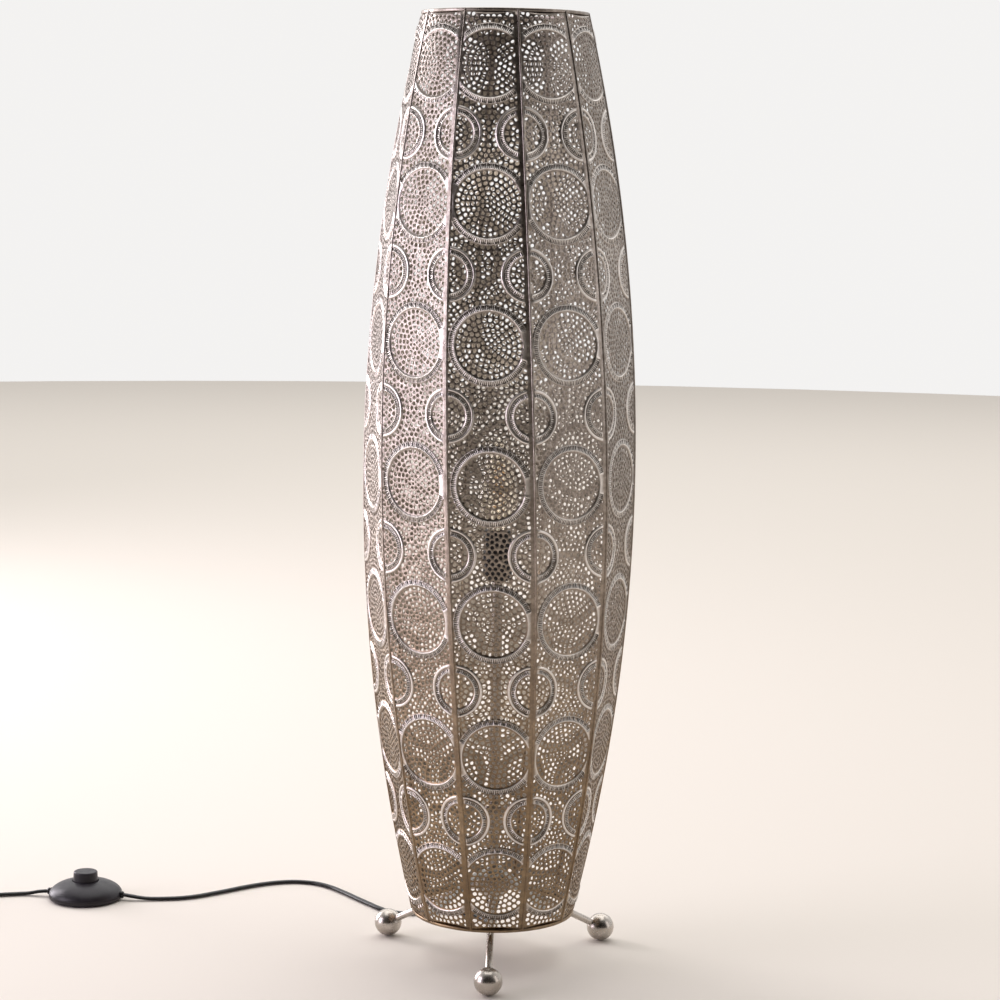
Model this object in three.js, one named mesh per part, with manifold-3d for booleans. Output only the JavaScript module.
// A tall standing lamp: a barrel-shaped shade of ten bowed metal panels on three splayed rods with ball feet.
// A central tube carries the lampholder. A flat twin cord leads to a foot switch, a coil and a plug.
// Units are millimetres and +Z is up. The origin is on the lamp's axis at floor level.
// The front foot is towards -Y, and azimuths are in degrees from -Y towards +X.
import * as THREE from "three";
import { mergeVertices } from "three/addons/utils/BufferGeometryUtils.js";
import Module from "manifold-3d";

const wasm = await Module();
wasm.setup();

// ---------- driving dimensions ----------
const GAP = 0.3; // clearance between pieces that touch

const SHADE = {
  sides: 10,
  bottomZ: 43,
  topZ: 845,
  midRadius: 120, // centres of the seam ribs at mid-height
  endRadius: 72.5, // and at both ends
  ribRadius: 2.5,
  panelThickness: 0.6,
  ringHeight: 3,
  ringOuter: 75,
  topRingInner: 69,
  bottomRingInner: 68,
  seamAzimuth: 16.3, // of the first seam at mid-height
  twist: -6.4, // turn of the seams from mid-height to the top, and back again to the bottom
};
const BOW_STEPS = 16; // straight steps that make up the bow of a panel or a rib

const LEG = { count: 3, circle: 114, ballRadius: 12.5, ballZ: 12.3, rodRadius: 3.25, slope: 28.5 };
const ROD_IN_BALL = 6; // from the ball's centre to the rod's end inside it
const HUB = { radius: 14, bottomZ: 59.5, topZ: 76, rodEnd: 8 };
const TUBE = { radius: 5, bore: 3.5, bottomZ: 53.5, topZ: 351.5 };
const NUT = { acrossFlats: 14, height: 4.6 };
const SPIDER = { azimuth: 60, width: 8, thickness: 2.5, eyeRadius: 13, reach: 68.2, foot: 8 };
const COUPLER = { bottomZ: 117.5, stepZ: 130, topZ: 143, lowerRadius: 10, upperRadius: 14.5 };
const HOLDER = { capZ: 345, shellZ: 357, topZ: 391, radius: 13, bore: 8.5, insertTopZ: 366 };
const BULB = {
  capRadius: 6.9,
  glassZ: 391.5,
  neckRadius: 8,
  bellyRadius: 17.5,
  bellyZ: 416,
  tipZ: 474,
  slimming: 0.16, // how much narrower than an ellipse the candle shape gets towards its tip
};

const CORD = { width: 5.6, height: 3.2, restZ: 1.7 }; // a flat twin lead
const GRIP = { collarRadius: 6.4, neckRadius: 5, endRadius: 3.6, length: 24, elbowDrop: 5.6, lean: 62 };

const SWITCH = {
  x: -400,
  y: 155.5,
  heading: -5.7, // degrees about Z, from +X
  radius: 35.3,
  bottomRadius: 33.6,
  rimZ: 4.2, // the parting line between base and cover
  crownZ: 17.4,
  wall: 2,
  cordZ: 5,
};
const DOME_CENTRE_RISE = 1.6; // the dome's ellipse would reach this far above the cover's mouth
const SCREW = { offset: 22, headRadius: 3, headTopZ: 0.9, shankRadius: 1.5, topZ: 11.5, clearance: 0.3 };
const BOSS = { radius: 3.4, topZ: 13 }; // the cover's two screw bosses
const BUTTON = { radius: 12.2, topRadius: 11.5, topZ: 27, flangeRadius: 14.4, flangeZ: 12.6, wall: 1.8 };
const BUSHING = { radius: 3.7, inner: 28, outer: 38 };
const CARRIER = { radius: 15, bottomZ: 7.2, topZ: 9, hole: 3.4 };
const SPRING = { radius: 5, wire: 0.45, turns: 4 };

const COIL = { x: -540, y: 111, inner: 24.3, outer: 42.1, bottomZ: 0.9, topZ: 7.8 };
const COIL_EXIT = { radius: 39, run: 22.4 }; // the outer turn leaves it on this radius, clear after this run
const TIE = { azimuth: 60, width: 8, thickness: 0.5, slack: 0.65 };
const PLUG = { gripLength: 22, bodyLength: 36, width: 35.2, height: 13.6, z: 6.95 };
const PIN = { radius: 2, length: 19, spacing: 19 };
const TAIL = { length: 18, startZ: 6.1 };

// The cord's route where it isn't coiled, chosen by hand: out of the grip, down to the floor and along it.
const FRONT_ROUTE = [
  [0, 21.5, 36.2], [0, 31.2, 31], [0, 42, 25.2], [0, 54, 18.8], [-0.3, 66, 12.8], [-1.2, 77, 8], [-3, 88, 4.4],
  [-6.2, 99, 2.4], [-12, 110, 1.7], [-20, 119.5, 1.7], [-30, 126.5, 1.7], [-42, 130.5, 1.7], [-54, 130.5, 1.7],
  [-66, 127, 1.7], [-78, 122.5, 1.7], [-88.5, 121.5, 1.7], [-99, 125, 1.7], [-109, 132.5, 1.7], [-132, 162, 1.7], [-152, 189, 1.7], [-167, 207, 1.7], [-183, 219, 1.7], [-202, 223, 1.7], [-220, 219, 1.7],
  [-237, 210, 1.7], [-252, 198.5, 1.7], [-266, 186, 1.7], [-280, 174, 1.7], [-294, 163.5, 1.7],
  [-309, 156.5, 1.7], [-326, 153, 1.7], [-341, 151.6, 2], [-352, 151, 3.6], [-361.6, 151.7, 5],
];
const REAR_ROUTE = [
  [-438.4, 159.3, 5], [-447, 160.2, 4], [-456, 160.4, 2.2], [-466, 159.2, 1.7], [-478, 156.3, 1.7],
  [-490, 153, 1.7], [-503, 150.7, 1.9], [-517.6, 150, 2.4],
];

// ---------- helpers ----------
const DEG = Math.PI / 180;
const BLACK_PLASTIC = { color: 0x2b2a2c, roughness: 0.45, metalness: 0 };
const CORD_PVC = { color: 0x1b1a1b, roughness: 0.35, metalness: 0 };
const ANTIQUE_SILVER = { color: 0x9b8f88, roughness: 0.42, metalness: 1 };
const SATIN_NICKEL = { color: 0xb5aaa0, roughness: 0.32, metalness: 1 };
const BRASS = { color: 0xc9a55c, roughness: 0.35, metalness: 1 };
const STEEL = { color: 0xa8a8a6, roughness: 0.4, metalness: 1 };
const OPAL_GLASS = { color: 0xf2e3c4, roughness: 0.1, metalness: 0 };

const lamp = new THREE.Group();
lamp.name = "standing_lamp";

function add(parent, name, geometry, look) {
  const mesh = new THREE.Mesh(geometry, new THREE.MeshStandardMaterial(look));
  mesh.name = name;
  parent.add(mesh);
  return mesh;
}

function polar(radius, azimuth, z) {
  return new THREE.Vector3(radius * Math.sin(azimuth * DEG), -radius * Math.cos(azimuth * DEG), z);
}

// A piece turned about Z. Its [radius, z] profile runs anticlockwise, from the axis to the axis.
function turned(profile, segments = 24) {
  return new THREE.LatheGeometry(points(profile), segments).rotateX(Math.PI / 2);
}

// A ring turned about Z: its profile closes on its first point.
function turnedRing(profile, segments = 24) {
  return turned([...profile, profile[0]], segments);
}

// Points on an elliptical arc in [radius, z], from one angle to another in degrees.
function arc(centreZ, radiusR, radiusZ, from, to, steps) {
  return Array.from({ length: steps + 1 }, (_, i) => {
    const angle = (from + ((to - from) * i) / steps) * DEG;
    return [radiusR * Math.cos(angle), centreZ + radiusZ * Math.sin(angle)];
  });
}

function points(pairs) {
  return pairs.map(([x, y]) => new THREE.Vector2(x, y));
}

function polygon(sides, radiusX, radiusY = radiusX, turn = 0) {
  return Array.from({ length: sides }, (_, i) => {
    const angle = turn + (2 * Math.PI * i) / sides;
    return new THREE.Vector2(radiusX * Math.cos(angle), radiusY * Math.sin(angle));
  });
}

function rodBetween(from, to, radius, segments = 16) {
  const along = to.clone().sub(from);
  const geometry = new THREE.CylinderGeometry(radius, radius, along.length(), segments);
  const up = new THREE.Vector3(0, 1, 0);
  geometry.applyQuaternion(new THREE.Quaternion().setFromUnitVectors(up, along.normalize()));
  const middle = from.clone().add(to).multiplyScalar(0.5);
  return geometry.translate(middle.x, middle.y, middle.z);
}

function sweep(section, path, steps) {
  const shape = new THREE.Shape(section);
  return new THREE.ExtrudeGeometry(shape, { steps, extrudePath: path, bevelEnabled: false });
}

function plate(outline, holes, thickness) {
  const shape = new THREE.Shape(outline);
  shape.holes = holes.map((hole) => new THREE.Path(hole));
  return new THREE.ExtrudeGeometry(shape, { depth: thickness, bevelEnabled: false });
}

function solid(geometry) {
  const bare = geometry.clone();
  bare.deleteAttribute("normal");
  bare.deleteAttribute("uv");
  const merged = mergeVertices(bare, 1e-4);
  const vertProperties = merged.attributes.position.array;
  const triVerts = new Uint32Array(merged.index.array);
  return new wasm.Manifold(new wasm.Mesh({ numProp: 3, vertProperties, triVerts }));
}

function geometryOf(manifold) {
  const mesh = manifold.getMesh();
  const geometry = new THREE.BufferGeometry();
  geometry.setAttribute("position", new THREE.BufferAttribute(mesh.vertProperties, mesh.numProp));
  geometry.setIndex(new THREE.BufferAttribute(mesh.triVerts, 1));
  geometry.computeVertexNormals();
  return geometry;
}

function cut(geometry, tools) {
  return geometryOf(tools.reduce((body, tool) => body.subtract(solid(tool)), solid(geometry)));
}

function joined(geometries) {
  return geometryOf(geometries.map(solid).reduce((body, next) => body.add(next)));
}

// ---------- shade ----------
const midZ = (SHADE.topZ + SHADE.bottomZ) / 2;
const halfHeight = (SHADE.topZ - SHADE.bottomZ) / 2;
const bulge = SHADE.midRadius - SHADE.endRadius;
const bowRadius = (halfHeight ** 2 + bulge ** 2) / (2 * bulge);
const sectorAngle = 360 / SHADE.sides;

function seamAzimuth(z) {
  return SHADE.seamAzimuth + (SHADE.twist * (z - midZ)) / halfHeight;
}

function seamPoint(z, sector = 0) {
  const radius = SHADE.midRadius - bowRadius + Math.sqrt(bowRadius ** 2 - (z - midZ) ** 2);
  return polar(radius, seamAzimuth(z) + sector * sectorAngle, z);
}

class SeamCurve extends THREE.Curve {
  constructor(fromZ, toZ) {
    super();
    this.fromZ = fromZ;
    this.toZ = toZ;
  }
  getPoint(t, target = new THREE.Vector3()) {
    return target.copy(seamPoint(this.fromZ + (this.toZ - this.fromZ) * t));
  }
}

// A unit box bent onto the flat-across, bowed surface between a seam and the next one.
function panelGeometry(fromZ, toZ) {
  const geometry = new THREE.BoxGeometry(1, 1, 1, 1, BOW_STEPS, 1);
  const position = geometry.attributes.position;
  for (let i = 0; i < position.count; i++) {
    const z = fromZ + (toZ - fromZ) * (position.getY(i) + 0.5);
    const here = seamPoint(z);
    const next = seamPoint(z, 1);
    const across = next.clone().sub(here);
    const width = across.length() - 2 * (SHADE.ribRadius + GAP);
    across.normalize();
    const outward = new THREE.Vector3(across.y, -across.x, 0);
    const point = here.add(next).multiplyScalar(0.5);
    point.addScaledVector(across, width * position.getX(i));
    point.addScaledVector(outward, SHADE.panelThickness * position.getZ(i));
    position.setXYZ(i, point.x, point.y, z);
  }
  geometry.computeVertexNormals();
  return geometry;
}

function shadeRing(z, inner) {
  const corners = (radius) =>
    Array.from({ length: SHADE.sides }, (_, k) => {
      const corner = polar(radius, seamAzimuth(z) + k * sectorAngle, 0);
      return new THREE.Vector2(corner.x, corner.y);
    });
  return plate(corners(SHADE.ringOuter), [corners(inner)], SHADE.ringHeight).translate(0, 0, z);
}

function addShade() {
  const shade = new THREE.Group();
  const topRingZ = SHADE.topZ - SHADE.ringHeight;
  const lowZ = SHADE.bottomZ + SHADE.ringHeight;
  add(shade, "bottom_ring", shadeRing(SHADE.bottomZ, SHADE.bottomRingInner), SATIN_NICKEL);
  add(shade, "top_ring", shadeRing(topRingZ, SHADE.topRingInner), SATIN_NICKEL);
  const ribEnd = GAP + SHADE.ribRadius * 0.25; // a rib's square end leans with the seam
  const ribPath = new SeamCurve(lowZ + ribEnd, topRingZ - ribEnd);
  for (let k = 0; k < SHADE.sides; k++) {
    const number = String(k + 1).padStart(2, "0");
    const sector = new THREE.Group();
    sector.rotation.z = k * sectorAngle * DEG;
    shade.add(sector);
    add(sector, `panel_${number}`, panelGeometry(lowZ + GAP, topRingZ - GAP), ANTIQUE_SILVER);
    add(sector, `seam_rib_${number}`, sweep(polygon(8, SHADE.ribRadius), ribPath, BOW_STEPS), ANTIQUE_SILVER);
  }
  lamp.add(shade);
}

// ---------- legs, hub and the shade's spider ----------
const slopeRise = Math.tan(LEG.slope * DEG);

function legPoint(radius) {
  return new THREE.Vector3(0, -radius, LEG.ballZ + (LEG.circle - radius) * slopeRise);
}

function ballGeometry(socket) {
  const flat = Math.sqrt(LEG.ballRadius ** 2 - LEG.ballZ ** 2);
  const start = -Math.asin(LEG.ballZ / LEG.ballRadius) / DEG;
  const side = arc(LEG.ballZ, LEG.ballRadius, LEG.ballRadius, start, 90, 12).slice(1, -1);
  const ball = turned([[0, 0], [flat, 0], ...side, [0, LEG.ballZ + LEG.ballRadius]]);
  return cut(ball.translate(0, -LEG.circle, 0), [socket]);
}

function addLegs() {
  const outerEnd = legPoint(LEG.circle - ROD_IN_BALL);
  const innerEnd = legPoint(HUB.rodEnd);
  const clearance = LEG.rodRadius + GAP;
  const ballSocket = rodBetween(legPoint(LEG.circle - ROD_IN_BALL + 1), innerEnd, clearance);
  const hubSockets = [];
  for (let k = 0; k < LEG.count; k++) {
    const leg = new THREE.Group();
    leg.rotation.z = (k * 2 * Math.PI) / LEG.count;
    lamp.add(leg);
    add(leg, `leg_rod_${k + 1}`, rodBetween(outerEnd, innerEnd, LEG.rodRadius), SATIN_NICKEL);
    add(leg, `ball_foot_${k + 1}`, ballGeometry(ballSocket), SATIN_NICKEL);
    hubSockets.push(rodBetween(outerEnd, legPoint(HUB.rodEnd - 1), clearance).rotateZ(leg.rotation.z));
  }
  const bore = TUBE.radius + GAP;
  const { radius, bottomZ, topZ } = HUB;
  const profile = [
    [bore, bottomZ], [radius - 1, bottomZ], [radius, bottomZ + 1], [radius, topZ - 1], [radius - 1, topZ],
    [bore, topZ],
  ];
  add(lamp, "leg_hub", cut(turnedRing(profile), hubSockets), SATIN_NICKEL);
}

// Three bent strips from the bottom ring up to an eye that is clamped on top of the hub.
function addSpider() {
  const eyeZ = HUB.topZ + GAP;
  const ringZ = SHADE.bottomZ + SHADE.ringHeight + GAP;
  const { width, thickness, eyeRadius, reach, foot } = SPIDER;
  const bore = TUBE.radius + GAP;
  const side = points([
    [eyeRadius - 3, eyeZ], [eyeRadius + 2, eyeZ], [reach - foot, ringZ], [reach, ringZ],
    [reach, ringZ + thickness], [reach - foot + 1.5, ringZ + thickness], [eyeRadius + 3.5, eyeZ + thickness],
    [eyeRadius - 3, eyeZ + thickness],
  ]);
  const arms = Array.from({ length: LEG.count }, (_, k) => {
    const arm = plate(side, [], width).translate(0, 0, -width / 2).rotateX(Math.PI / 2);
    return arm.rotateZ((SPIDER.azimuth - 90 + (360 * k) / LEG.count) * DEG);
  });
  const eyeTop = eyeZ + thickness;
  const eye = turnedRing([[bore, eyeZ], [eyeRadius, eyeZ], [eyeRadius, eyeTop], [bore, eyeTop]]);
  add(lamp, "shade_spider", joined([eye, ...arms]), STEEL);
}

function nutGeometry(z) {
  const corner = NUT.acrossFlats / Math.sqrt(3);
  return plate(polygon(6, corner), [polygon(24, TUBE.radius + GAP)], NUT.height).translate(0, 0, z);
}

// ---------- central tube, lampholder and bulb ----------
function addStem() {
  const { radius, bore, bottomZ, topZ } = TUBE;
  const wall = [[bore, bottomZ], [radius, bottomZ], [radius, topZ], [bore, topZ]];
  add(lamp, "center_tube", turnedRing(wall), SATIN_NICKEL);
  add(lamp, "hub_nut", nutGeometry(HUB.bottomZ - GAP - NUT.height), STEEL);
  add(lamp, "spider_nut", nutGeometry(HUB.topZ + SPIDER.thickness + 2 * GAP), STEEL);

  const fit = radius + GAP;
  const { lowerRadius, upperRadius } = COUPLER;
  add(lamp, "tube_coupler", turnedRing([
    [fit, COUPLER.bottomZ], [lowerRadius - 1, COUPLER.bottomZ], [lowerRadius, COUPLER.bottomZ + 1],
    [lowerRadius, COUPLER.stepZ], [upperRadius, COUPLER.stepZ + 2], [upperRadius, COUPLER.topZ - 1.5],
    [upperRadius - 1.5, COUPLER.topZ], [fit, COUPLER.topZ],
  ]), SATIN_NICKEL);

  const leadSection = polygon(8, CORD.height / 2, CORD.width / 2, Math.PI / 8);
  const lead = plate(leadSection, [], HOLDER.shellZ - 1 - bottomZ).translate(0, 0, bottomZ);
  add(lamp, "inner_lead", lead, CORD_PVC);
}

function addHolder() {
  const { capZ, shellZ, topZ, radius, bore, insertTopZ } = HOLDER;
  const fit = TUBE.radius + GAP;
  const capWall = 2;
  add(lamp, "holder_cap", turnedRing([
    [fit, capZ], [radius - 4, capZ], [radius, capZ + 6], [radius, shellZ], [radius - capWall, shellZ],
    [radius - capWall, capZ + 8], [fit, capZ + 8],
  ]), BLACK_PLASTIC);
  const shellLow = shellZ + GAP;
  add(lamp, "holder_shell", turnedRing([
    [bore, shellLow], [radius, shellLow], [radius, topZ - 8], [radius - 0.8, topZ - 7], [radius - 0.8, topZ],
    [bore, topZ],
  ]), BLACK_PLASTIC);
  const insertRadius = bore - GAP;
  add(lamp, "holder_insert", turned([
    [0, shellLow], [insertRadius, shellLow], [insertRadius, insertTopZ], [0, insertTopZ],
  ]), BRASS);
}

function addBulb() {
  const { capRadius, glassZ, neckRadius, bellyRadius, bellyZ, tipZ } = BULB;
  const tipLow = HOLDER.insertTopZ + GAP;
  const capTop = glassZ - GAP;
  add(lamp, "bulb_cap", turned([
    [0, tipLow], [2.4, tipLow], [2.8, tipLow + 1.5], [capRadius, tipLow + 5], [capRadius, capTop],
    [0, capTop],
  ]), BRASS);
  const shoulder = arc(bellyZ, bellyRadius, bellyZ - glassZ - 4, -60, 0, 5);
  const candle = arc(bellyZ, bellyRadius, tipZ - bellyZ, 0, 90, 9);
  candle.forEach((point) => (point[0] *= 1 - (BULB.slimming * (point[1] - bellyZ)) / (tipZ - bellyZ)));
  add(lamp, "bulb_glass", turned([
    [0, glassZ], [neckRadius, glassZ], ...shoulder.slice(0, -1), ...candle.slice(0, -1), [0, tipZ],
  ], 28), OPAL_GLASS);
}

// ---------- cord ----------
function cordTube(route) {
  const curve = new THREE.CatmullRomCurve3(route.map((p) => new THREE.Vector3(...p)), false, "centripetal");
  const steps = Math.min(80, Math.round(curve.getLength() / (2 * CORD.width)));
  const frames = curve.computeFrenetFrames(steps, false);
  const across = new THREE.Vector3(0, 0, 1).cross(frames.tangents[steps]).normalize(); // the wide way
  const turn = Math.atan2(across.dot(frames.binormals[steps]), across.dot(frames.normals[steps]));
  const section = polygon(8, CORD.width / 2, CORD.height / 2, Math.PI / 8);
  return sweep(section.map((p) => p.rotateAround(new THREE.Vector2(0, 0), turn)), curve, steps);
}

function addCord() {
  const gripTop = TUBE.bottomZ - GAP;
  const elbowZ = gripTop - GRIP.elbowDrop;
  const collar = turned([
    [0, elbowZ], [GRIP.neckRadius, elbowZ], [GRIP.collarRadius, gripTop - 3], [GRIP.collarRadius, gripTop], [0, gripTop],
  ], 20);
  const elbow = new THREE.SphereGeometry(GRIP.neckRadius, 20, 12).translate(0, 0, elbowZ);
  const taper = turned([[0, 0], [GRIP.neckRadius, 0], [GRIP.endRadius, GRIP.length], [0, GRIP.length]], 20);
  taper.rotateX((GRIP.lean - 180) * DEG).translate(0, 0, elbowZ);
  add(lamp, "cord_grip", joined([collar, elbow, taper]), CORD_PVC);
  add(lamp, "cord_front", cordTube(FRONT_ROUTE), CORD_PVC);
  add(lamp, "cord_rear", cordTube(REAR_ROUTE), CORD_PVC);

  const coil = new THREE.Group();
  coil.position.set(COIL.x, COIL.y, 0);
  lamp.add(coil);
  const { inner, outer, bottomZ, topZ } = COIL;
  const windings = [[inner, bottomZ], [outer, bottomZ], [outer, topZ], [inner, topZ]];
  add(coil, "cord_coil", turnedRing(windings, 40), CORD_PVC);

  const middle = (inner + outer) / 2;
  const halfWidth = (outer - inner) / 2 + TIE.slack;
  const band = (grow) => {
    const x = halfWidth + grow;
    const low = bottomZ - GAP - grow;
    const high = topZ + GAP + grow;
    return points([[-x, low], [x, low], [x, high], [-x, high]]);
  };
  const tie = plate(band(TIE.thickness), [band(0)], TIE.width);
  tie.translate(0, 0, -TIE.width / 2).rotateX(Math.PI / 2);
  const holder = new THREE.Group();
  holder.position.copy(polar(middle, TIE.azimuth, 0));
  holder.rotation.z = (TIE.azimuth - 90) * DEG;
  coil.add(holder);
  add(holder, "coil_tie", tie, BLACK_PLASTIC);

  const tailX = COIL.x - COIL_EXIT.radius;
  const tailY = COIL.y - COIL_EXIT.run;
  const rise = PLUG.z - TAIL.startZ;
  const tail = [0, 0.5, 1].map((t) => [tailX, tailY - TAIL.length * t, TAIL.startZ + rise * t]);
  add(lamp, "cord_tail", cordTube(tail), CORD_PVC);
}

// A flat two-pin plug on the floor, its pins towards -Y, its cord coming in at the origin of its group.
function addPlug() {
  const plug = new THREE.Group();
  plug.position.set(COIL.x - COIL_EXIT.radius, COIL.y - COIL_EXIT.run - TAIL.length - GAP, PLUG.z);
  lamp.add(plug);
  const half = PLUG.width / 2;
  const bodyStart = -PLUG.gripLength;
  const bodyEnd = bodyStart - PLUG.bodyLength;
  const outline = points([
    [-7, bodyStart], [-half + 2, bodyStart - 16], [-half, bodyStart - 20], [-half, bodyEnd],
    [half, bodyEnd], [half, bodyStart - 20], [half - 2, bodyStart - 16], [7, bodyStart],
  ]);
  const body = plate(outline, [], PLUG.height).translate(0, 0, -PLUG.height / 2);
  const gripEnd = PLUG.gripLength + 3;
  const grip = turned([[0, 0], [3.7, 0], [5.4, PLUG.gripLength - 4], [6, gripEnd], [0, gripEnd]]);
  add(plug, "plug_body", joined([body, grip.rotateX(Math.PI / 2)]), BLACK_PLASTIC);
  [-1, 1].forEach((side, i) => {
    const { radius, length, spacing } = PIN;
    const pin = turned([[0, 0], [radius, 0], [radius, length - 1], [radius - 1, length], [0, length]], 20);
    pin.rotateX(Math.PI / 2).translate((side * spacing) / 2, bodyEnd - GAP, 0);
    add(plug, `plug_pin_${i + 1}`, pin, STEEL);
  });
}

// ---------- foot switch ----------
function domeArc(inset, from, to, steps) {
  const { radius, rimZ, crownZ } = SWITCH;
  return arc(rimZ, radius - inset, crownZ + DOME_CENTRE_RISE - rimZ - inset, from, to, steps);
}

// The angle on the dome's arc, in degrees, at which it comes in to a given radius.
function domeAngle(inset, atRadius) {
  return Math.acos(atRadius / (SWITCH.radius - inset)) / DEG;
}

function addSwitch() {
  const box = new THREE.Group();
  box.position.set(SWITCH.x, SWITCH.y, 0);
  box.rotation.z = SWITCH.heading * DEG;
  lamp.add(box);
  const { radius, bottomRadius, rimZ, wall, cordZ } = SWITCH;
  const cordWay = new THREE.CylinderGeometry(BUSHING.radius + GAP, BUSHING.radius + GAP, 3 * radius, 24)
    .rotateZ(Math.PI / 2).translate(0, 0, cordZ);
  const screwSides = [-1, 1];
  const screwHoles = screwSides.map((side) => {
    const head = SCREW.headRadius + SCREW.clearance;
    const shank = SCREW.shankRadius + SCREW.clearance;
    const floor = SCREW.headTopZ + SCREW.clearance;
    const end = SCREW.topZ + 0.5;
    const hole = turned([[0, -1], [head, -1], [head, floor], [shank, floor], [shank, end], [0, end]], 16);
    return hole.translate(0, side * SCREW.offset, 0);
  });

  const base = turned([
    [0, 0], [bottomRadius, 0], [radius, 2.6], [radius, rimZ - GAP], [radius - wall, rimZ - GAP],
    [radius - wall, wall], [0, wall],
  ], 36);
  add(box, "switch_base", cut(base, [cordWay, ...screwHoles]), BLACK_PLASTIC);

  const mouth = BUTTON.radius + 0.35;
  const outside = domeArc(0, 0, domeAngle(0, mouth), 8);
  const inside = domeArc(wall, domeAngle(wall, mouth), 0, 6);
  const shell = turnedRing([...outside, ...inside], 36);
  const bossProfile = [[0, rimZ], [BOSS.radius, rimZ], [BOSS.radius, BOSS.topZ], [0, BOSS.topZ]];
  const bosses = screwSides.map((side) => turned(bossProfile, 16).translate(0, side * SCREW.offset, 0));
  add(box, "switch_cover", cut(joined([shell, ...bosses]), [cordWay, ...screwHoles]), BLACK_PLASTIC);

  screwSides.forEach((side, i) => {
    const { headRadius, headTopZ, shankRadius, topZ } = SCREW;
    const screw = turned([
      [0, 0.1], [headRadius, 0.1], [headRadius, headTopZ], [shankRadius, headTopZ + 0.1],
      [shankRadius, topZ - 1], [0, topZ],
    ], 16);
    add(box, `switch_screw_${i + 1}`, screw.translate(0, side * SCREW.offset, 0), STEEL);
  });

  [0, 180].forEach((turn, i) => {
    const { radius: sleeve, inner, outer } = BUSHING;
    const profile = [[0, inner], [sleeve, inner], [sleeve, outer - 3], [sleeve - 0.5, outer], [0, outer]];
    const bushing = turned(profile, 20);
    const side = new THREE.Group();
    side.rotation.z = turn * DEG;
    box.add(side);
    add(side, `cord_bushing_${i + 1}`, bushing.rotateY(Math.PI / 2).translate(0, 0, cordZ), CORD_PVC);
  });

  add(box, "contact_carrier", turnedRing([
    [CARRIER.hole, CARRIER.bottomZ], [CARRIER.radius, CARRIER.bottomZ], [CARRIER.radius, CARRIER.topZ],
    [CARRIER.hole, CARRIER.topZ],
  ], 24), BLACK_PLASTIC);

  const button = BUTTON;
  const ceiling = button.topZ - 2;
  const flangeTop = button.flangeZ + 1.2;
  add(box, "switch_button", turned([
    [0, ceiling], [button.topRadius - button.wall, ceiling], [button.radius - button.wall, button.flangeZ],
    [button.flangeRadius, button.flangeZ], [button.flangeRadius, flangeTop], [button.radius, flangeTop],
    [button.topRadius, button.topZ - 1.2], [button.topRadius - 1.2, button.topZ], [0, button.topZ],
  ], 32), BLACK_PLASTIC);
  const plungerTop = ceiling - GAP;
  add(box, "switch_plunger", turned([
    [0, 11], [2.6, 11.8], [2.6, plungerTop - 2], [4, plungerTop - 2], [4, plungerTop], [0, plungerTop],
  ], 20), BLACK_PLASTIC);

  const springLow = CARRIER.topZ + GAP + SPRING.wire;
  const springHigh = ceiling - GAP - SPRING.wire;
  const helix = new (class extends THREE.Curve {
    getPoint(t, target = new THREE.Vector3()) {
      const angle = 2 * Math.PI * SPRING.turns * t;
      const z = springLow + (springHigh - springLow) * t;
      return target.set(SPRING.radius * Math.cos(angle), SPRING.radius * Math.sin(angle), z);
    }
  })();
  add(box, "switch_spring", sweep(polygon(5, SPRING.wire), helix, SPRING.turns * 12), STEEL);
}

addShade();
addLegs();
addSpider();
addStem();
addHolder();
addBulb();
addCord();
addPlug();
addSwitch();

export default lamp;
